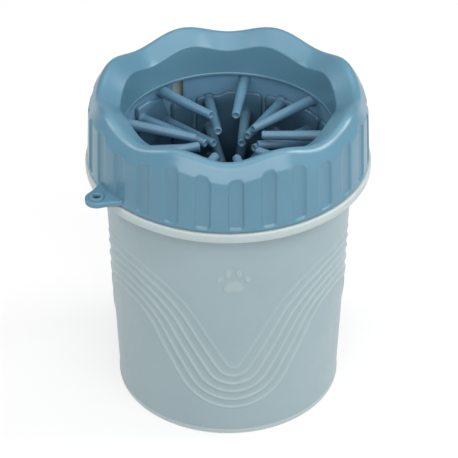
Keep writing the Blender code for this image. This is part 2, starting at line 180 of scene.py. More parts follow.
# The round tip reaches this far either side of the tab's middle line, and its flanks leave it at this slope
TAB_TIP_DEG, TAB_FLARE_REACH, TAB_FLARE_STEPS = 75, 3.6, 12
TAB_EDGE, BOSS_EDGE = 0.5, 0.45
# The eyelet's underside is this much above the tab's
BOSS_LIFT = 0.02

# Screw thread: two ridges on the neck and two in the collar
THREAD_LEAD = 12.0
# (name, root radius, crest radius, azimuth of the first start and sweep in degrees, start height, slot, body)
THREADS = (
    ("neck_thread", 48.8, 51.4, 90.0, 170.0, 109.2, "frosted_plastic", "cup_body"),
    ("collar_thread", 53.2, 50.6, 126.0, 130.0, 107.4, "blue_plastic", "collar_body"),
)
THREAD_STEP_DEG, THREAD_RUN_OUT = 3, 0.12
# Half widths at the root and the crest, and the share of the height left where a ridge runs out
THREAD_ROOT_HALF, THREAD_CREST_HALF, THREAD_LEFT = 1.2, 0.7, 0.15

# Gasket
GASKET_WIDTH, GASKET_COLUMNS = 5.2, 180
# Across its width: the two beads, and the dip between them
GASKET_BEADS, GASKET_DIP = (1.3, 3.9), 2.6
GASKET_EDGE_DROP, GASKET_DIP_DROP = 0.2, 0.35

# Insert
SLEEVE_RADIUS, SLEEVE_TAPER, SLEEVE_WALL = 44.85, 0.0135, 1.4
SLEEVE_BOTTOM, HEM_BOTTOM, HEM_TOP, HEM_RADIUS = 14.0, 121.3, 122.9, 49.2
SLEEVE_COLUMNS = 200
SPLIT_DEG, SPLIT_HALF_WIDTH_DEG = 208.0, 3.2
PANEL_GAP, PANEL_WALL, PANEL_BOTTOM = 0.3, 1.6, 18.0
PANEL_EDGES_DEG = (199.0, 214.0, 240.0, 280.0, 320.0, 360.0, 400.0, 440.0, 480.0, 520.0, 559.0)
SLIT_DEG = 1.8
# Height of the panels' top edges: usual, low stretch and the tall panel beside the split
PANEL_TOP, PANEL_TOP_LOW, PANEL_TOP_TALL = 108.0, 106.3, 110.7
# The low stretch begins between these azimuths
LOW_START_DEG = (180.0, 185.0)
# Height at which the panels' width is measured
PANEL_FACE_HEIGHT = 60.0
# The tall panel's edge rises away from the bristle above it, and its side leans away from the split
TALL_RISE, TALL_RISE_DEG = 1.4, (221.0, 228.0)
TALL_LEAN_DEG, TALL_LEAN_HEIGHTS = 4.0, (100.0, 111.0)
# The corners of the panels' top edges, and those of the tall panel
PANEL_CORNER, TALL_CORNER = 2.2, 1.0
# Rows of points down a panel; distances of its columns from an upright edge, and between those in the middle
PANEL_ROWS = 22.5
PANEL_EDGE_COLUMNS, PANEL_COLUMN_PITCH = (0.0, 0.15, 0.4, 0.8, 1.3, 1.8, 2.3), 1.2
# The panels thin to this share of their wall at the upright edges, over this distance
PANEL_THIN_SHARE, PANEL_THIN_REACH = 0.35, 0.9

# Bristles
BRISTLE_TO_WALL = 2.4
ROW_PITCH, TOP_ROW, UPPER_ROWS, LOWER_ROWS = 7.3, 113.4, 3, 7
LOWER_LENGTH, LOWER_DROOP_DEG = 24.0, 6.0
# Lower bristles stand on the panels wider than this, at these azimuths from an edge, and on the tall panel
WIDE_PANEL_DEG, LOWER_COLUMNS_DEG, TALL_COLUMNS_DEG = 30.0, (11.0, 31.0), (221.0, 235.0)
# (distance from the wall, radius) along a bristle's root
BRISTLE_ROOT = ((-0.9, 3.1), (-0.1, 2.85), (0.4, 2.55), (1.1, 2.35), (2.2, 2.24), (4.0, 2.2))
BRISTLE_TIP_RADIUS = 1.6
# The straight rod between root and tip: how far short of the tip it ends, how much thicker than the tip it is
# there, and its rings
ROD_SHORT_OF_TIP, ROD_THICKER, ROD_RINGS = 0.7, 0.08, 8
# (distance short of the tip, change of the tip's radius) over the rim and into the dimple
BRISTLE_TIP = ((0.35, 0.05), (0.09, -0.08), (0.0, -0.3), (0.05, -0.5), (0.3, -0.72))
DIMPLE_DEPTH, DIMPLE_RADIUS = 0.42, 0.4
UPPER_SIDES, LOWER_SIDES = 24, 14
# Ranges of the bristles' sag, and how far the lower ones stray sideways, in droop and in swing
UPPER_SAG, LOWER_SAG = (-0.25, 0.45), (0.0, 0.4)
STRAY_DEG, DROOP_STRAY_DEG, SWING_DEG = 0.6, 2.0, 3.0


# Points and meshes

def ring_points(radius, height, azimuth):
    """Points at radius and height in millimetres and azimuth in radians, broadcast together."""
    radius, height, azimuth = np.broadcast_arrays(radius, height, azimuth)
    return np.stack((radius * np.sin(azimuth), -radius * np.cos(azimuth), height), axis=-1) * MM


def smoothstep(foot_thick_and_reflection, high, value):
    share = np.clip((value - foot_thick_and_reflection) / (high - foot_thick_and_reflection), 0.0, 1.0)
    return share * share * (3.0 - 2.0 * share)


def outward(azimuth):
    return Vector((math.sin(azimuth), -math.cos(azimuth), 0.0))


def sideways(azimuth):
    return Vector((math.cos(azimuth), math.sin(azimuth), 0.0))


def rounded(corners, steps=5, closed=True):
    """An outline with rounded corners. A corner is (x, y, fillet, more...), and more is carried along."""
    made = []
    count = len(corners)
    for k, corner in enumerate(corners):
        here = np.array(corner[:2], float)
        if not closed and k in (0, count - 1):
            made.append((*here, *corner[3:]))
            continue
        before = here - np.array(corners[k - 1][:2], float)
        after = np.array(corners[(k + 1) % count][:2], float) - here
        lengths = np.linalg.norm(before), np.linalg.norm(after)
        before, after = before / lengths[0], after / lengths[1]
        turned = math.atan2(before[0] * after[1] - before[1] * after[0], float(before @ after))
        reach = min(corner[2] * abs(math.tan(turned / 2)), FILLET_SHARE * min(lengths))
        radius = reach / max(abs(math.tan(turned / 2)), 1e-6)
        side = math.copysign(1.0, turned)
        normal = np.array((-before[1], before[0])) * side
        start = here - before * reach
        centre = start + normal * radius
        for step in range(steps + 1):
            angle = turned * step / steps
            spoke = start - centre
            x = spoke[0] * math.cos(angle) - spoke[1] * math.sin(angle)
            y = spoke[0] * math.sin(angle) + spoke[1] * math.cos(angle)
            made.append((centre[0] + x, centre[1] + y, *corner[3:]))
    return made


def refined(points, step, closed=True):
    """The outline, its long stretches divided. step is a length, or a function of a stretch's middle."""
    made = []
    count = len(points)
    for k in range(count if closed else count - 1):
        a, b = np.array(points[k]), np.array(points[(k + 1) % count])
        length = float(np.linalg.norm((b - a)[:2]))
        longest = step((a + b) / 2) if callable(step) else step
        parts = max(1, math.ceil(length / longest))
        made += [tuple(a + (b - a) * part / parts) for part in range(parts)]
    if not closed:
        made.append(tuple(points[-1]))
    return made


def add_piece(name, points, faces, material, slot):
    mesh = bpy.data.meshes.new(name)
    mesh.from_pydata([tuple(p) for p in points], [], faces)
    shape = bmesh.new()
    shape.from_mesh(mesh)
    bmesh.ops.recalc_face_normals(shape, faces=shape.faces)
    shape.to_mesh(mesh)
    shape.free()
    mesh.shade_smooth()
    mesh.materials.append(material)
    obj = bpy.data.objects.new(name, mesh)
    bpy.context.scene.collection.objects.link(obj)
    return obj


def loft_faces(rows, columns, rows_meet, columns_meet, first=0):
    """Quads between neighbouring rows of points."""
    faces = []
    for r in range(rows if rows_meet else rows - 1):
        below, above = first + r * columns, first + (r + 1) % rows * columns
        for c in range(columns if columns_meet else columns - 1):
            d = (c + 1) % columns
            faces.append((below + c, below + d, above + d, above + c))
    return faces


def turned_piece(name, rows, material, slot):
    """A round body: rows of points round the axis, closed by a fan at each end."""
    count, columns = rows.shape[:2]
    points = list(rows.reshape(-1, 3))
    faces = loft_faces(count, columns, rows_meet=False, columns_meet=True)
    for start, pole in ((0, rows[0]), ((count - 1) * columns, rows[-1])):
        centre = len(points)
        points.append(pole.mean(axis=0))
        faces += [(start + c, start + (c + 1) % columns, centre) for c in range(columns)]
    return add_piece(name, points, faces, material, slot)


def ring_piece(name, rows, material, slot):
    """A closed ring: a section's rows of points, each going all round the axis."""
    count, columns = rows.shape[:2]
    faces = loft_faces(count, columns, rows_meet=True, columns_meet=True)
    return add_piece(name, list(rows.reshape(-1, 3)), faces, material, slot)


def swept_parts(loops, first=0):
    """Points and faces of a body swept through closed loops, with flat ends."""
    count, around = loops.shape[:2]
    faces = loft_faces(count, around, rows_meet=False, columns_meet=True, first=first)
    faces.append(tuple(first + k for k in range(around)))
    faces.append(tuple(first + (count - 1) * around + k for k in reversed(range(around))))
    return list(loops.reshape(-1, 3)), faces


# Cup

def cup_radius(height):
    return FOOT_RADIUS + TAPER * height


def rib_line():
    """The ribs' middle line all round: distance along the wall, height and upward normal of each column."""
    half_period = RIB_REFERENCE_RADIUS * TURN / RIB_PERIODS / 2
    across, up = half_period, (RIB_CREST - RIB_CREST_ARC) - (RIB_TROUGH + RIB_TROUGH_ARC)
    apart = math.hypot(across, up)
    slope = math.atan2(up, across) + math.asin((RIB_TROUGH_ARC + RIB_CREST_ARC) / apart)
    half = []
    for k in range(RIB_STEPS[0]):
        a = slope * k / RIB_STEPS[0]
        half.append((RIB_TROUGH_ARC * math.sin(a), RIB_TROUGH + RIB_TROUGH_ARC * (1 - math.cos(a)), a))
    foot = np.array((math.sin(slope), 1 - math.cos(slope))) * RIB_TROUGH_ARC + (0.0, RIB_TROUGH)
    head = np.array((-math.sin(slope), math.cos(slope) - 1)) * RIB_CREST_ARC + (half_period, RIB_CREST)
    for k in range(RIB_STEPS[1]):
        half.append((*(foot + (head - foot) * k / RIB_STEPS[1]), slope))
    for k in range(RIB_STEPS[2] + 1):
        a = slope * (1 - k / RIB_STEPS[2])
        x, z = half_period - RIB_CREST_ARC * math.sin(a), RIB_CREST - RIB_CREST_ARC * (1 - math.cos(a))
        half.append((x, z, a))
    period = [(-x, z, -a) for x, z, a in reversed(half[1:])] + half[:-1]
    line = []
    for k in range(RIB_PERIODS):
        line += [(x + 2 * half_period * k, z, -math.sin(a), math.cos(a)) for x, z, a in period]
    return np.array(line).T


def rib_rows():
    """(offset from the middle line, relief) of each row of points across the ribs, from the top down."""
    rows = []
    edge = (RIB_COUNT - 1) / 2 * RIB_PITCH + RIB_BAND_MARGIN * RIB_HALF_WIDTH
    rows.append((edge, 0.0))
    for k in reversed(range(RIB_COUNT)):
        middle = (k - (RIB_COUNT - 1) / 2) * RIB_PITCH
        for share in RIB_ROWS:
            height = RIB_HEIGHT * RIB_SHARES[k] * (0.5 + 0.5 * math.cos(math.pi * share)) ** RIB_POWER
            rows.append((middle + share * RIB_HALF_WIDTH, height))
        if k:
            rows.append((middle - RIB_PITCH / 2, 0.0))
    rows.append((-edge, 0.0))
    return rows


def emblem_relief(along, height):
    """How far the emblem's pads stand out of the wall, at a distance along it from the emblem's middle."""
    inside = np.full(along.shape, -np.inf)
    for x, z, wide, tall, lean in EMBLEM_PADS:
        c, s = math.cos(math.radians(lean)), math.sin(math.radians(lean))
        u = (along - x) * c - (height - EMBLEM_HEIGHT - z) * s
        v = (along - x) * s + (height - EMBLEM_HEIGHT - z) * c
        near = np.sqrt((u / wide) ** 2 + (v / tall) ** 2)
        inside = np.maximum(inside, (1.0 - near) * min(wide, tall))
    return EMBLEM_RELIEF * smoothstep(SOFT_EDGE_START, EMBLEM_EDGE, inside)


def build_cup(material):
    """Rows of points from the middle of the inside floor, over the rim and down the outside to the foot."""
    along, middle, normal_x, normal_z = rib_line()
    centre = math.radians(RIB_CENTRE_DEG)
    bands = rib_rows()
    top, bottom = bands[0][0], bands[-1][0]
    upper = (along + top * normal_x) / RIB_REFERENCE_RADIUS + centre
    lower = (along + bottom * normal_x) / RIB_REFERENCE_RADIUS + centre
    inside = rounded((
        (HUB_RADIUS, CUP_FLOOR, 0.0), (FOOT_RADIUS - CUP_WALL, CUP_FLOOR, 2.6),
        (NECK_RADIUS - CUP_WALL, NECK_TOP, 0.6), (NECK_RADIUS, NECK_TOP, 0.6), (NECK_RADIUS, FLANGE_TOP, 0.5),
        (FLANGE_RADIUS, FLANGE_TOP, 0.7), (FLANGE_RADIUS, FLANGE_BOTTOM, 0.9),
        (cup_radius(FLANGE_BOTTOM), FLANGE_BOTTOM, FLANGE_FILLET),
        (cup_radius(UPPER_PROFILE_END), UPPER_PROFILE_END, 0.0),
    ), steps=4, closed=False)
    rows = [ring_points(r, z, upper) for r, z in refined(inside[:-1], PROFILE_STEP, closed=False)]
    wall_top = inside[-2][1]
    edge_height = middle + top * normal_z
    nearest = (along + HALF_ROUND) % (2 * HALF_ROUND) - HALF_ROUND
    for share in np.concatenate([np.linspace(*stretch) for stretch in ROWS_ABOVE_RIBS]):
        height = edge_height + (wall_top - edge_height) * share
        offset = (nearest + top * normal_x) * cup_radius(height) / RIB_REFERENCE_RADIUS
        relief = emblem_relief(offset, height)
        rows.append(ring_points(cup_radius(height) + relief, height, upper))
    for offset, relief in bands:
        height = middle + offset * normal_z
        azimuth = (along + offset * normal_x) / RIB_REFERENCE_RADIUS + centre
        rows.append(ring_points(cup_radius(height) + relief, height, azimuth))
    low_height = middle + bottom * normal_z
    foot = rounded((
        (cup_radius(LOWER_PROFILE_END), LOWER_PROFILE_END, 0.0), (cup_radius(FOOT_BEAD), FOOT_BEAD, 0.3),
        (cup_radius(0.0) + FOOT_BEAD_RELIEF, FOOT_BEAD - 0.4, 0.3),
        (cup_radius(0.0) + FOOT_BEAD_RELIEF, 0.0, FOOT_FILLET), (FOOT_RADIUS - RING_END, 0.0, 0.5),
        (FOOT_RADIUS - RECESS_START, RECESS, 0.5), (HUB_RADIUS, RECESS, 0.0),
    ), steps=4, closed=False)
    wall_foot = foot[1][1]
    for share in np.linspace(*ROWS_BELOW_RIBS):
        height = wall_foot + (low_height - wall_foot) * share
        rows.append(ring_points(cup_radius(height), height, lower))
    rows += [ring_points(r, z, lower) for r, z in refined(foot[1:], PROFILE_STEP, closed=False)]
    cup = turned_piece("cup_shell", np.array(rows), material, "frosted_plastic")
    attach(cup, "cup_body")
    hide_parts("cup")


def thread_ridge(number, name, root, crest, first_start_deg, sweep_deg, start_height, slot, body, material):
    """One rounded ridge of a thread with two starts, which runs out at both ends."""
    steps = round(sweep_deg / THREAD_STEP_DEG)
    start_deg = first_start_deg + 180.0 * (number - 1)
    loops = []
    for k in range(steps + 1):
        share = k / steps
        fade = float(smoothstep(0.0, THREAD_RUN_OUT, share) * smoothstep(0.0, THREAD_RUN_OUT, 1 - share))
        reach = root + (crest - root) * (THREAD_LEFT + (1 - THREAD_LEFT) * fade)
        section = rounded((
            (root, THREAD_ROOT_HALF, 0.0), (root, -THREAD_ROOT_HALF, 0.0),
            (reach, -THREAD_CREST_HALF, 0.35), (reach, THREAD_CREST_HALF, 0.35),
        ), steps=3)
        height = start_height + THREAD_LEAD * sweep_deg / 360 * share
        azimuth = math.radians(start_deg + sweep_deg * share)
        loops.append([ring_points(r, height + z, azimuth) for r, z in section])
    piece = add_piece(f"{name}_{number}", *swept_parts(np.array(loops)), material, slot)
    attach(piece, body)


# Collar

def wave(radius, azimuth):
    across = np.clip((radius - LIP_INNER_RADIUS) / (LIP_OUTER_RADIUS - LIP_INNER_RADIUS), 0.0, 1.0)
    return -(WAVE_INNER + (WAVE_OUTER - WAVE_INNER) * across) * np.cos(WAVES * azimuth)


def flute_columns():
    """Azimuths round the collar, closer together at the flutes' edges."""
    pitch = 360.0 / FLUTES
    half = math.degrees(FLUTE_HALF_WIDTH / COLLAR_CORNERS[0][0])
    across = [*FLUTE_FLOOR_DEG, *(half - edge for edge in FLUTE_INSIDE_EDGE_DEG), *FLUTE_OUTSIDE_DEG]
    one = sorted([-a for a in across] + [0.0] + across) + [pitch / 2]
    return np.radians([FIRST_FLUTE_DEG + pitch * k + a for k in range(FLUTES) for a in one])


def flute_recess(azimuth, height, radius):
    """How deep the flutes are cut at points of the outer wall: slots with a soft edge and a hollow floor."""
    pitch = TURN / FLUTES
    from_first = azimuth - math.radians(FIRST_FLUTE_DEG)
    across = np.abs((from_first + pitch / 2) % pitch - pitch / 2) * radius
    top = FLUTE_TOP + wave(radius, azimuth)
    middle, half = (FLUTE_BOTTOM + top) / 2, (top - FLUTE_BOTTOM) / 2
    x = across - (FLUTE_HALF_WIDTH - FLUTE_CORNER)
    z = np.abs(height - middle) - (half - FLUTE_CORNER)
    beyond = np.hypot(np.maximum(x, 0.0), np.maximum(z, 0.0))
    outside = beyond + np.minimum(np.maximum(x, z), 0.0) - FLUTE_CORNER
    hollow = 1.0 - (1.0 - np.clip(-outside / FLUTE_HALF_WIDTH, 0.0, 1.0)) ** 2
    edge = smoothstep(SOFT_EDGE_START, FLUTE_EDGE, -outside)
    return FLUTE_EDGE_DEPTH * edge + FLUTE_HOLLOW_DEPTH * hollow


def build_collar(material):
    azimuth = flute_columns()
    outline = refined(rounded(COLLAR_CORNERS, steps=4), COLLAR_STEP)

    def step(middle):
        radius, height = middle[:2]
        if radius > SKIRT_RADIUS:
            return FLUTE_STEP if FLUTE_END_HEIGHTS[0] <= height <= FLUTE_END_HEIGHTS[1] else FLUTE_END_STEP
        return LIP_STEP if radius > LIP_FROM[0] and height > LIP_FROM[1] else COLLAR_STEP

    rows = []
    for radius, height, share in refined(outline, step):
        lifted = height + share * wave(radius, azimuth)
        recess = flute_recess(azimuth, lifted, radius) if radius > SKIRT_RADIUS else 0.0
        rows.append(ring_points(radius - recess, lifted, azimuth))
    collar = ring_piece("collar_shell", np.array(rows), material, "blue_plastic")
    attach(collar, "collar_body")
    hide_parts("collar")


def tab_plate(name, outline, hole, bottom, thickness, edge, material):
    """A flat plate with a hole and rounded edges, from an outline of (away from the axis, sideways)."""
    curve = bpy.data.curves.new(name, "CURVE")
    curve.dimensions = "2D"
    curve.fill_mode = "BOTH"
    curve.extrude = (thickness / 2 - edge) * MM
    curve.bevel_depth = edge * MM
    curve.bevel_resolution = 3
    curve.offset = -edge * MM
    for points in (outline, hole):
        spline = curve.splines.new("POLY")
        spline.points.add(len(points) - 1)
        for target, (x, y) in zip(spline.points, points):
            target.co = (x * MM, y * MM, 0.0, 1.0)
        spline.use_cyclic_u = True
    flat = bpy.data.objects.new(name, curve)
    bpy.context.scene.collection.objects.link(flat)
    mesh = bpy.data.meshes.new_from_object(flat.evaluated_get(bpy.context.evaluated_depsgraph_get()))
    bpy.data.objects.remove(flat, do_unlink=True)
    azimuth = math.radians(TAB_AZIMUTH_DEG)
    away, across = outward(azimuth), sideways(azimuth)
    place = Matrix((
        (away.x, across.x, 0.0, 0.0), (away.y, across.y, 0.0, 0.0),
        (0.0, 0.0, 1.0, (bottom + thickness / 2) * MM), (0.0, 0.0, 0.0, 1.0),
    ))
    mesh.transform(place)
    shape = bmesh.new()
    shape.from_mesh(mesh)
    bmesh.ops.remove_doubles(shape, verts=shape.verts, dist=0.00001)
    bmesh.ops.recalc_face_normals(shape, faces=shape.faces)
    shape.to_mesh(mesh)
    shape.free()
    mesh.shade_smooth()
    mesh.set_sharp_from_angle(angle=math.radians(40.0))
    mesh.materials.clear()
    mesh.materials.append(material)
    obj = bpy.data.objects.new(name, mesh)
    bpy.context.scene.collection.objects.link(obj)
    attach(obj, "collar_body")


def build_tab(material):
    tip = []
    for degrees in range(-TAB_TIP_DEG, TAB_TIP_DEG + 1, 5):
        angle = math.radians(degrees)
        tip.append((TAB_TIP_CENTRE + TAB_TIP_RADIUS * math.cos(angle), TAB_TIP_RADIUS * math.sin(angle)))
    end = np.array(tip[-1])
    slope = math.radians(TAB_TIP_DEG)
    control = end + np.array((-math.sin(slope), math.cos(slope))) * TAB_FLARE_REACH
    root = np.array((TAB_ROOT_RADIUS, TAB_ROOT_HALF_WIDTH))
    flare = []
    for k in range(1, TAB_FLARE_STEPS + 1):
        t = k / TAB_FLARE_STEPS
        flare.append(tuple(end * (1 - t) ** 2 + control * 2 * t * (1 - t) + root * t * t))
    outline = [(x, -y) for x, y in reversed(flare)] + tip + flare

    def circle(radius):
        spokes = [TURN * k / 32 for k in range(32)]
        return [(TAB_TIP_CENTRE + radius * math.cos(a), radius * math.sin(a)) for a in spokes]

    hole = circle(TAB_HOLE_RADIUS)
    tab_plate("collar_tab", outline, hole, TAB_BOTTOM, TAB_THICKNESS, TAB_EDGE, material)
    boss = circle(TAB_BOSS_RADIUS)
    tab_plate("collar_tab_eyelet", boss, hole, TAB_BOTTOM + BOSS_LIFT, TAB_BOSS_HEIGHT, BOSS_EDGE, material)


# Gasket and insert

def build_gasket(material):
    """A soft ring with two rounded sealing beads on each face."""
    foot_thick_and_reflection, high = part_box("neck_gasket")
    outer, bottom, top = high.x / MM, foot_thick_and_reflection.z / MM, high.z / MM
    inner = outer - GASKET_WIDTH
    first, dip, second = inner + GASKET_BEADS[0], inner + GASKET_DIP, inner + GASKET_BEADS[1]
    section = rounded((
        (inner, bottom + GASKET_EDGE_DROP, 0.4), (first, bottom, 0.5), (dip, bottom + GASKET_DIP_DROP, 0.5),
        (second, bottom, 0.5), (outer, bottom + GASKET_EDGE_DROP, 0.4), (outer, (bottom + top) / 2, 0.2),
        (outer, top - GASKET_EDGE_DROP, 0.4), (second, top, 0.5), (dip, top - GASKET_DIP_DROP, 0.5),
        (first, top, 0.5), (inner, top - GASKET_EDGE_DROP, 0.4),
    ), steps=3)
    azimuth = np.linspace(0.0, TURN, GASKET_COLUMNS, endpoint=False)
    rows = np.array([ring_points(r, z, azimuth) for r, z in section])
    gasket = ring_piece("neck_seal", rows, material, "gasket_rubber")
    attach(gasket, "gasket_body")
    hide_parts("neck_gasket")


def sleeve_radius(height):
    return SLEEVE_RADIUS - SLEEVE_TAPER * (HEM_BOTTOM - height)


def build_sleeve(material):
    """The rolled sheet, open at its split, with a hem that lies on the neck."""
    low_radius = sleeve_radius(SLEEVE_BOTTOM)
    section = refined(rounded((
        (HEM_RADIUS, HEM_TOP, 0.6), (HEM_RADIUS, HEM_BOTTOM, 0.5), (SLEEVE_RADIUS, HEM_BOTTOM, 0.3),
        (low_radius, SLEEVE_BOTTOM, 0.5), (low_radius - SLEEVE_WALL, SLEEVE_BOTTOM, 0.5),
        (SLEEVE_RADIUS - SLEEVE_WALL, HEM_TOP, 0.8),
    ), steps=4), 5.0)
    start = math.radians(SPLIT_DEG + SPLIT_HALF_WIDTH_DEG)
    end = math.radians(SPLIT_DEG + 360.0 - SPLIT_HALF_WIDTH_DEG)
    azimuths = np.linspace(start, end, SLEEVE_COLUMNS)
    loops = np.array([[ring_points(r, z, azimuth) for r, z in section] for azimuth in azimuths])
    sleeve = add_piece("soft_sleeve", *swept_parts(loops), material, "blue_silicone")
    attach(sleeve, "cup_body")
    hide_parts("insert_sleeve")


def panel_top(azimuth_deg):
    """Height of the panels' top edges round the insert: low before the split, tall after it."""
    tall_start, tall_end = PANEL_EDGES_DEG[1], PANEL_EDGES_DEG[2]
    if tall_start < azimuth_deg < tall_end:
        return PANEL_TOP_TALL + TALL_RISE * float(smoothstep(*TALL_RISE_DEG, np.float64(azimuth_deg)))
    back = azimuth_deg % 360.0
    foot_thick_and_reflection = float(smoothstep(*LOW_START_DEG, np.float64(back))) if back < tall_start else 0.0
    return PANEL_TOP + (PANEL_TOP_LOW - PANEL_TOP) * foot_thick_and_reflection


def panel_loops(start_deg, end_deg):
    """A curved plate whose edges are rounded off, and whose top corners are round."""
    face = sleeve_radius(PANEL_FACE_HEIGHT) - SLEEVE_WALL - PANEL_GAP
    width = math.radians(end_deg - start_deg) * face
    eased = list(PANEL_EDGE_COLUMNS)
    middle_width = width - 2 * eased[-1]
    inner_count = max(3, math.ceil(middle_width / PANEL_COLUMN_PITCH))
    across = eased + [eased[-1] + middle_width * k / inner_count for k in range(1, inner_count)]
    across += [width - e for e in reversed(eased)]
    leaning = PANEL_EDGES_DEG[1] < start_deg < PANEL_EDGES_DEG[2]
    corner = TALL_CORNER if leaning else PANEL_CORNER
    loops = []
    for distance in across:
        azimuth = math.radians(start_deg) + distance / face
        from_edge = min(distance, width - distance)
        swell = math.sqrt(max(0.0, 1 - (1 - min(1.0, from_edge / PANEL_THIN_REACH)) ** 2))
        depth = PANEL_WALL * (PANEL_THIN_SHARE + (1 - PANEL_THIN_SHARE) * swell)
        rest = max(0.0, corner - from_edge)
        cut = corner - math.sqrt(corner ** 2 - rest ** 2)
        top = panel_top(math.degrees(azimuth)) - cut
        foot_thick_and_reflection = PANEL_BOTTOM + cut
        section = rounded((
            (0.0, top, 0.2), (0.0, foot_thick_and_reflection, 0.2), (-depth, foot_thick_and_reflection, 0.5), (-depth, top, 0.6),
        ), steps=3)
        loop = []
        lean_deg = TALL_LEAN_DEG * (1 - distance / width) if leaning else 0.0
        for r, z in refined(section, (top - foot_thick_and_reflection) / PANEL_ROWS):
            lean = math.radians(lean_deg) * float(smoothstep(*TALL_LEAN_HEIGHTS, np.float64(z)))
            loop.append(ring_points(sleeve_radius(z) - SLEEVE_WALL - PANEL_GAP + r, z, azimuth + lean))
        loops.append(loop)
    return np.array(loops)


# Bristles

def bristle_loops(wall, tip, sides, bow):
    """Rings along a tapered rod from the wall to its dimpled tip. The rod sags by bow at its middle."""
    line = tip - wall
    length = line.length / MM
    way = line.normalized()
    side = way.cross(Vector((0.0, 0.0, 1.0))).normalized()
    up = side.cross(way)
    root_end, root_radius = BRISTLE_ROOT[-1]
    rod_end, rod_radius = length - ROD_SHORT_OF_TIP, BRISTLE_TIP_RADIUS + ROD_THICKER
    shape = list(BRISTLE_ROOT)
    for k in range(1, ROD_RINGS + 1):
        share = k / ROD_RINGS
        distance = root_end + (rod_end - root_end) * share
        shape.append((distance, root_radius + (rod_radius - root_radius) * share))
    shape += [(length - short, BRISTLE_TIP_RADIUS + change) for short, change in BRISTLE_TIP]
    shape.append((length - DIMPLE_DEPTH, DIMPLE_RADIUS))
    loops = []
    for distance, radius in shape:
        sag = bow * math.sin(math.pi * min(1.0, max(0.0, distance / length)))
        centre = wall + way * (distance * MM) - up * (sag * MM)
        spokes = [TURN * k / sides for k in range(sides)]
        loops.append([centre + (side * math.cos(a) + up * math.sin(a)) * (radius * MM) for a in spokes])
    return np.array(loops, float)


def build_bristles(material):
    """The upper rows: a rod from the insert's wall at each bristle's pivot out to its tip."""
    for joint in frame["joints"]:
        if not joint["name"].endswith("_bend"):
            continue
        node = joint["name"][: -len("_bend")]
        pivot = Vector(joint["pos_m"])
        corners = np.array([v.co for v in frame["nodes"][node].data.vertices])
        far = np.linalg.norm(corners - np.array(pivot), axis=1)
        tip = Vector(corners[far > far.max() - 0.1 * MM].mean(axis=0))
        azimuth = math.atan2(pivot.x, -pivot.y)
        wall = pivot + outward(azimuth) * (BRISTLE_TO_WALL * MM)
        loops = bristle_loops(wall, tip, UPPER_SIDES, random.uniform(*UPPER_SAG))
        bristle = add_piece(f"soft_{node}", *swept_parts(loops), material, "blue_silicone")
        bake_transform(bristle)
        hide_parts(node)


def lower_columns(start_deg, end_deg):
    """The azimuths of a panel's lower bristles, which alternate from row to row."""
    if end_deg - start_deg > WIDE_PANEL_DEG:
        return tuple(start_deg + column for column in LOWER_COLUMNS_DEG)
    if start_deg == PANEL_EDGES_DEG[1]:
        return TALL_COLUMNS_DEG
    return None


def build_panels(material):
    for k in range(len(PANEL_EDGES_DEG) - 1):
        start, end = PANEL_EDGES_DEG[k] + SLIT_DEG / 2, PANEL_EDGES_DEG[k + 1] - SLIT_DEG / 2
        name = f"bristle_panel_{k + 1:02d}"
        points, faces = swept_parts(panel_loops(start, end))
        columns = lower_columns(PANEL_EDGES_DEG[k], PANEL_EDGES_DEG[k + 1])
        for row in range(UPPER_ROWS, UPPER_ROWS + LOWER_ROWS) if columns else ():
            azimuth = math.radians(columns[row % 2] + random.uniform(-STRAY_DEG, STRAY_DEG))
            height = TOP_ROW - ROW_PITCH * row
            face = sleeve_radius(height) - SLEEVE_WALL - PANEL_GAP - PANEL_WALL
            wall = outward(azimuth) * (face * MM) + Vector((0.0, 0.0, height * MM))
            droop = math.radians(LOWER_DROOP_DEG + random.uniform(-DROOP_STRAY_DEG, DROOP_STRAY_DEG))
            swing = math.radians(random.uniform(-SWING_DEG, SWING_DEG))
            level = -outward(azimuth) * math.cos(swing) + sideways(azimuth) * math.sin(swing)
            way = level * math.cos(droop) - Vector((0.0, 0.0, math.sin(droop)))
            tip = wall + way * (LOWER_LENGTH * MM)
            loops = bristle_loops(wall, tip, LOWER_SIDES, random.uniform(*LOWER_SAG))
            more_points, more_faces = swept_parts(loops, first=len(points))
            points, faces = points + more_points, faces + more_faces
        panel = add_piece(f"soft_{name}", points, faces, material, "blue_silicone")
        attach(panel, "cup_body")
        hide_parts(name)


# Materials

def blank_material(name):
    made = bpy.data.materials.new(name)
    made.use_nodes = True
    tree = made.node_tree
    return made, tree, tree.nodes["Principled BSDF"]


def texture_place(tree):
    return tree.nodes.new("ShaderNodeTexCoord").outputs["Object"]


def noise(tree, place, scale, detail=2.0, roughness=0.5):
    node = tree.nodes.new("ShaderNodeTexNoise")
    node.inputs["Scale"].default_value = scale
    node.inputs["Detail"].default_value = detail
    node.inputs["Roughness"].default_value = roughness
    tree.links.new(place, node.inputs["Vector"])
    return node.outputs["Fac"]


def spread(tree, value, foot_thick_and_reflection, high, from_low=0.15, from_high=0.85):
    """Maps a noise value to low..high."""
    node = tree.nodes.new("ShaderNodeMapRange")
    node.inputs["From Min"].default_value = from_low
    node.inputs["From Max"].default_value = from_high
    node.inputs["To Min"].default_value = foot_thick_and_reflection
    node.inputs["To Max"].default_value = high
    tree.links.new(value, node.inputs["Value"])
    return node.outputs["Result"]


def blended(tree, share, first, second):
    """A colour between two, each a colour or a socket."""
    node = tree.nodes.new("ShaderNodeMix")
    node.data_type = "RGBA"
    tree.links.new(share, node.inputs["Factor"])
    for key, colour in (("A", first), ("B", second)):
        socket = [s for s in node.inputs if s.name == key and s.type == "RGBA"][0]
        if isinstance(colour, tuple):
            socket.default_value = (*colour, 1.0)
        else:
            tree.links.new(colour, socket)
    return [s for s in node.outputs if s.type == "RGBA"][0]


def bump(tree, height, distance, strength):
    node = tree.nodes.new("ShaderNodeBump")
    node.inputs["Strength"].default_value = strength
    node.inputs["Distance"].default_value = distance
    tree.links.new(height, node.inputs["Height"])
    return node.outputs["Normal"]


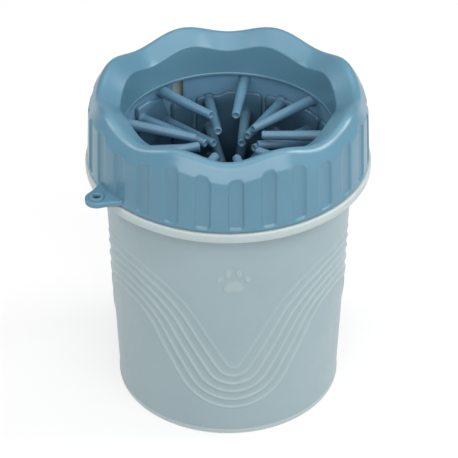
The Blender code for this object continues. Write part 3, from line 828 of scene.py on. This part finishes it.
def arithmetic(tree, operation, *values):
    """One sum on numbers or sockets."""
    node = tree.nodes.new("ShaderNodeMath")
    node.operation = operation
    for socket, value in zip(node.inputs, values):
        if isinstance(value, (int, float)):
            socket.default_value = value
        else:
            tree.links.new(value, socket)
    return node.outputs["Value"]


def coordinates(tree, place):
    node = tree.nodes.new("ShaderNodeSeparateXYZ")
    tree.links.new(place, node.inputs["Vector"])
    return tuple(node.outputs)


def from_axis(tree, x, y):
    """Distance from the object's axis."""
    squares = [arithmetic(tree, "MULTIPLY", value, value) for value in (x, y)]
    return arithmetic(tree, "SQRT", arithmetic(tree, "ADD", *squares))


def moulded_plastic():
    """Satin blue plastic with faint flow marks, a fine grain and slightly uneven gloss."""
    made, tree, shader = blank_material("collar_blue_plastic")
    place = texture_place(tree)
    flow = spread(tree, noise(tree, place, 38.0, 1.5), 0.0, 1.0)
    grain = noise(tree, place, 2600.0, 2.0)
    tone = blended(tree, flow, (0.060, 0.153, 0.214), (0.078, 0.177, 0.242))
    tree.links.new(tone, shader.inputs["Base Color"])
    # Where the roughness dips to 0.27, the denoised wall shows fine dark lines
    tree.links.new(spread(tree, noise(tree, place, 70.0, 2.0), 0.277, 0.295), shader.inputs["Roughness"])
    tree.links.new(bump(tree, grain, 0.00003, 0.2), shader.inputs["Normal"])
    shader.inputs["Subsurface Weight"].default_value = 0.12
    shader.inputs["Subsurface Radius"].default_value = (0.4, 0.8, 1.0)
    shader.inputs["Subsurface Scale"].default_value = 0.0015
    return made


def frosted_plastic():
    """Frosted plastic. It is paler where it is thick or free: on the ribs, the flange and the foot ring,
    where the paler tone is partly a painted reflection of the pale floor on the rounded bottom edge.
    """
    made, tree, shader = blank_material("cup_frosted_plastic")
    place = texture_place(tree)
    x, y, z = coordinates(tree, place)
    radius = from_axis(tree, x, y)
    wall = arithmetic(tree, "MULTIPLY_ADD", z, TAPER, FOOT_RADIUS * MM)
    beyond = arithmetic(tree, "SUBTRACT", radius, wall)
    relief = arithmetic(tree, "ADD", spread(tree, beyond, 0.0, 0.55, 0.00005, 0.0005),
                        spread(tree, beyond, 0.0, 0.45, 0.001, 0.004))
    # Foot ring: paler as thick plastic, and partly a painted reflection of the pale floor on its rounded edge
    foot_thick_and_reflection = spread(tree, z, 0.9, 0.0, 0.0012, 0.0024)
    neck = spread(tree, z, 0.0, 1.0, 0.1055, 0.1065)
    thick_and_painted_reflection = arithmetic(tree, "MAXIMUM", arithmetic(tree, "MAXIMUM", relief, foot_thick_and_reflection), neck)
    cloud = noise(tree, place, 24.0, 3.0, 0.6)
    thin = blended(tree, spread(tree, cloud, 0.0, 1.0), (0.208, 0.278, 0.304), (0.242, 0.312, 0.331))
    tone = blended(tree, thick_and_painted_reflection, thin, (0.325, 0.375, 0.378))
    tree.links.new(tone, shader.inputs["Base Color"])
    tree.links.new(spread(tree, noise(tree, place, 300.0, 3.0), 0.36, 0.48), shader.inputs["Roughness"])
    tree.links.new(bump(tree, noise(tree, place, 3200.0, 2.0), 0.00003, 0.5), shader.inputs["Normal"])
    shader.inputs["IOR"].default_value = 1.45
    shader.inputs["Subsurface Weight"].default_value = 0.4
    shader.inputs["Subsurface Radius"].default_value = (0.9, 1.0, 1.0)
    shader.inputs["Subsurface Scale"].default_value = 0.002
    return made


def soft_silicone():
    """Soft blue silicone, faintly mottled, with painted light and shade: a paler tone on the sleeve is
    painted light near the opening, and a darker tone on the panels and lower down is painted shade in the
    depth.
    """
    made, tree, shader = blank_material("insert_blue_silicone")
    place = texture_place(tree)
    x, y, z = coordinates(tree, place)
    mottle = noise(tree, place, 90.0, 2.0)
    mottled_tone = blended(tree, spread(tree, mottle, 0.0, 1.0), (0.058, 0.139, 0.208), (0.078, 0.168, 0.242))
    # Painted shade: the panels are darkened below about 110 mm, where little light reaches into the cup
    panel_painted_shade = arithmetic(tree, "MULTIPLY", spread(tree, from_axis(tree, x, y), 0.0, 0.75, 0.0370, 0.0400),
                          spread(tree, z, 1.0, 0.0, 0.103, 0.112))
    # Painted shade: everything below about 90 mm is darkened as the shade deep in the cup
    painted_depth_shade = arithmetic(tree, "MAXIMUM", panel_painted_shade, spread(tree, z, 1.0, 0.0, 0.080, 0.094))
    # Painted light: the sleeve, lit near the opening, is given a paler tone than the panels
    sleeve_painted_light = spread(tree, from_axis(tree, x, y), 0.0, 1.0, 0.0424, 0.0430)
    tone = blended(tree, sleeve_painted_light, blended(tree, painted_depth_shade, mottled_tone, (0.023, 0.057, 0.095)), (0.089, 0.192, 0.284))
    tree.links.new(tone, shader.inputs["Base Color"])
    tree.links.new(spread(tree, mottle, 0.36, 0.48), shader.inputs["Roughness"])
    tree.links.new(bump(tree, noise(tree, place, 1800.0, 3.0), 0.00005, 0.5), shader.inputs["Normal"])
    shader.inputs["Subsurface Weight"].default_value = 0.15
    shader.inputs["Subsurface Radius"].default_value = (0.4, 0.8, 1.0)
    shader.inputs["Subsurface Scale"].default_value = 0.0015
    return made


def seal_rubber():
    """Grey-white sealing rubber with a dry, dusty face."""
    made, tree, shader = blank_material("neck_seal_rubber")
    place = texture_place(tree)
    dust = noise(tree, place, 160.0, 5.0, 0.65)
    tone = blended(tree, spread(tree, dust, 0.0, 1.0), (0.42, 0.44, 0.45), (0.52, 0.54, 0.55))
    tree.links.new(tone, shader.inputs["Base Color"])
    tree.links.new(spread(tree, dust, 0.55, 0.75), shader.inputs["Roughness"])
    tree.links.new(bump(tree, noise(tree, place, 2200.0, 2.0), 0.00004, 0.5), shader.inputs["Normal"])
    return made


# Studio

def floor_material():
    """A pale sheet with a trace of grain."""
    made, tree, shader = blank_material("studio_floor")
    place = texture_place(tree)
    grain = spread(tree, noise(tree, place, 14.0, 2.0), 0.0, 1.0)
    tone = blended(tree, grain, (0.24, 0.24, 0.24), (0.26, 0.26, 0.26))
    tree.links.new(tone, shader.inputs["Base Color"])
    shader.inputs["Roughness"].default_value = 0.9
    shader.inputs["Emission Color"].default_value = (1.0, 1.0, 1.0, 1.0)
    shader.inputs["Emission Strength"].default_value = 0.60
    return made


def build_floor():
    shape = bmesh.new()
    bmesh.ops.create_circle(shape, cap_ends=True, segments=96, radius=FLOOR_RADIUS)
    mesh = bpy.data.meshes.new("studio_floor")
    shape.to_mesh(mesh)
    shape.free()
    mesh.materials.append(floor_material())
    floor = bpy.data.objects.new("studio_floor", mesh)
    bpy.context.scene.collection.objects.link(floor)


def area_light(name, place, size, power):
    light = bpy.data.lights.new(name, "AREA")
    light.shape = "RECTANGLE"
    light.size, light.size_y = size
    light.energy = power
    obj = bpy.data.objects.new(name, light)
    bpy.context.scene.collection.objects.link(obj)
    obj.location = place
    obj.rotation_euler = (Vector(LIGHTS_AIM) - Vector(place)).to_track_quat("-Z", "Y").to_euler()


def build_studio():
    scene = bpy.context.scene
    world = bpy.data.worlds.new("studio")
    scene.world = world
    world.use_nodes = True
    background = world.node_tree.nodes["Background"]
    background.inputs["Color"].default_value = (1.0, 1.0, 1.0, 1.0)
    background.inputs["Strength"].default_value = WORLD_STRENGTH
    scene.view_settings.view_transform = "Standard"
    build_floor()
    for light in LIGHTS:
        area_light(*light)


def build_camera():
    data = bpy.data.cameras.new("camera")
    data.lens = LENS_MM
    data.sensor_width = 36.0
    data.shift_x = CAMERA_SHIFT
    camera = bpy.data.objects.new("camera", data)
    bpy.context.scene.collection.objects.link(camera)
    camera.location = CAMERA_PLACE
    camera.rotation_euler = (math.radians(90.0 - CAMERA_DOWN_DEG), 0.0, 0.0)
    bpy.context.scene.camera = camera


def main():
    build_camera()
    build_studio()
    frosted, blue, silicone = frosted_plastic(), moulded_plastic(), soft_silicone()
    build_cup(frosted)
    for number in (1, 2):
        for thread, material in zip(THREADS, (frosted, blue)):
            thread_ridge(number, *thread, material)
    build_collar(blue)
    build_tab(blue)
    build_gasket(seal_rubber())
    build_sleeve(silicone)
    build_panels(silicone)
    build_bristles(silicone)


main()
